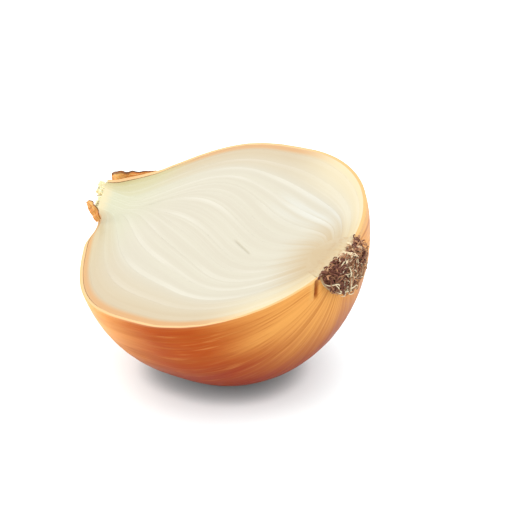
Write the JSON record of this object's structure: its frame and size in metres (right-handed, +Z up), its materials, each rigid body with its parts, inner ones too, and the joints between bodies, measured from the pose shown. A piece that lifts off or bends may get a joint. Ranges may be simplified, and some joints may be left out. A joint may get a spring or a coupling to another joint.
{
  "type": "halved onion",
  "caption": "Yellow onion cut in half from neck to root, resting on its round back with the cut face up: papery skin, nested fleshy scales, bud, basal plate, root tuft and dry neck ends.",
  "frame": {"origin": "middle of the bounding box, on the plane of the flat spot that the half onion rests on", "axes": "+Z up, +X from the neck towards the root along the bulb, +Y towards the raised side of the cut face"},
  "size_m": [0.0958, 0.0788, 0.0555],
  "materials": {
    "skin": "dry papery skin with a soft sheen",
    "flesh": "moist, slightly translucent flesh",
    "stem": "firm fibrous stem",
    "root": "dry dead roots",
    "dry_leaf": "dry brittle leaf end",
    "pale_leaf": "dry pale leaf end"
  },
  "bodies": {
    "root": {"skin": "skin", "scale_1": "flesh", "scale_2": "flesh", "scale_3": "flesh", "scale_4": "flesh", "scale_5": "flesh", "scale_6": "flesh", "scale_7": "flesh", "bud": "flesh", "basal_plate": "stem", "root_tuft": "root", "neck_flake_far": "dry_leaf", "neck_flake_near": "dry_leaf", "neck_tip_1": "pale_leaf", "neck_tip_2": "pale_leaf"}
  },
  "joints": []
}
